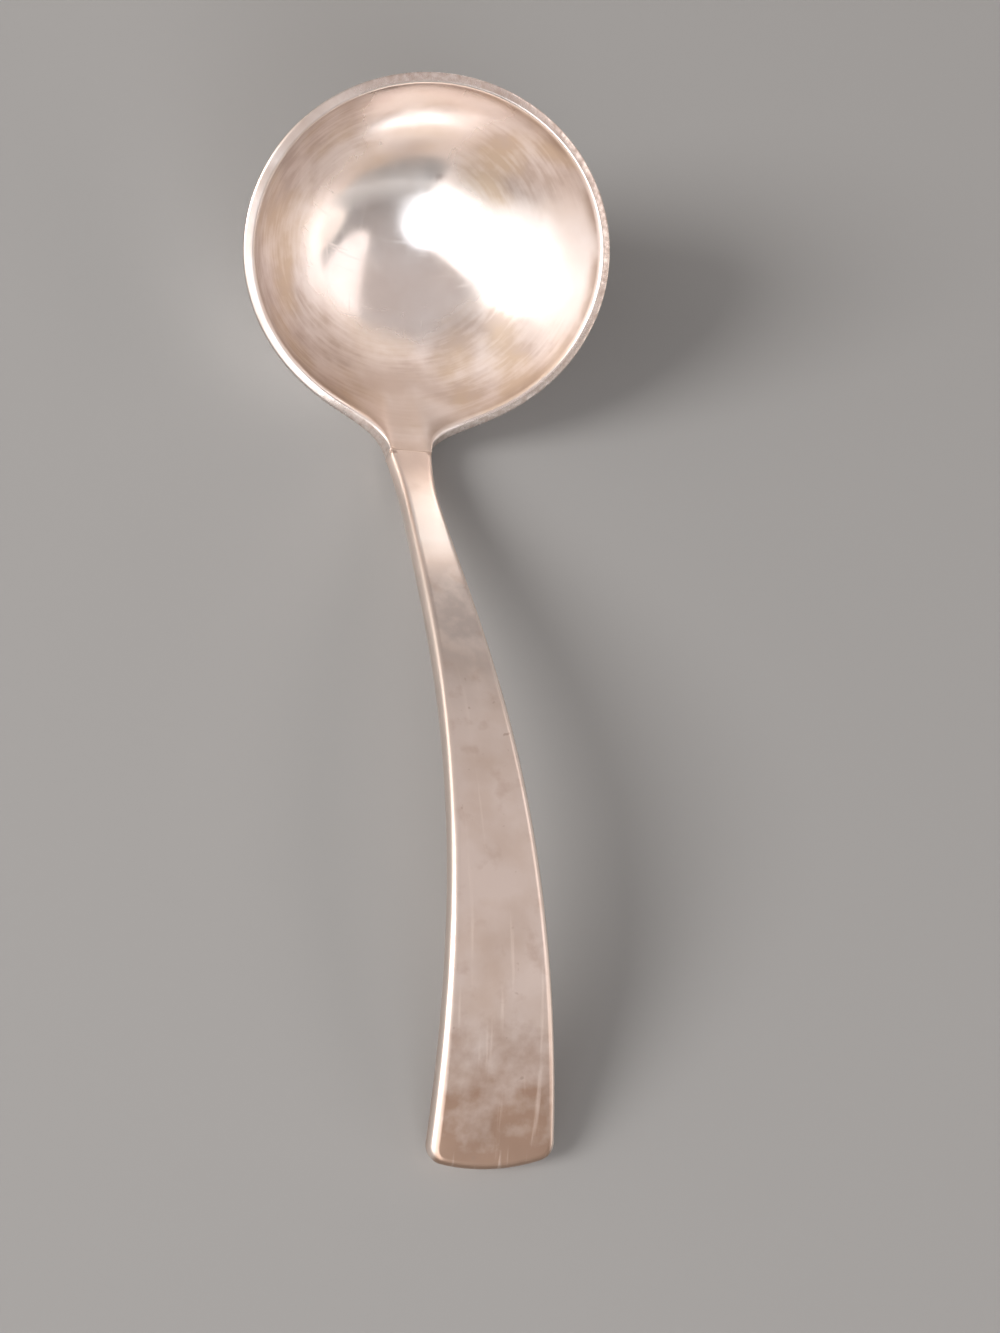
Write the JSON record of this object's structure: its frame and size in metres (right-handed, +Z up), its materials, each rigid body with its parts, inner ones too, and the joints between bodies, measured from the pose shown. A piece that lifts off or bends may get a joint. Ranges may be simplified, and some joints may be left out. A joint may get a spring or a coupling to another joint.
{
  "type": "cream ladle",
  "caption": "Small silver cream ladle: a tilted oval dish with a short neck, soldered to a flat handle that tapers and arches.",
  "frame": {"origin": "middle of the plan outline, on the surface the ladle lies on", "axes": "+Z up, +Y from the tip of the handle towards the bowl, X across the handle; the plane X = 0 is the mirror plane"},
  "size_m": [0.0424, 0.1144, 0.0301],
  "materials": {
    "bowl_silver": "polished silver, worn, with a warm cast",
    "handle_silver": "satin silver with light tarnish and fine lengthwise scratches",
    "solder": "dull hard solder"
  },
  "bodies": {
    "root": {"bowl": "bowl_silver", "handle": "handle_silver", "neck_solder": "solder"}
  },
  "joints": []
}
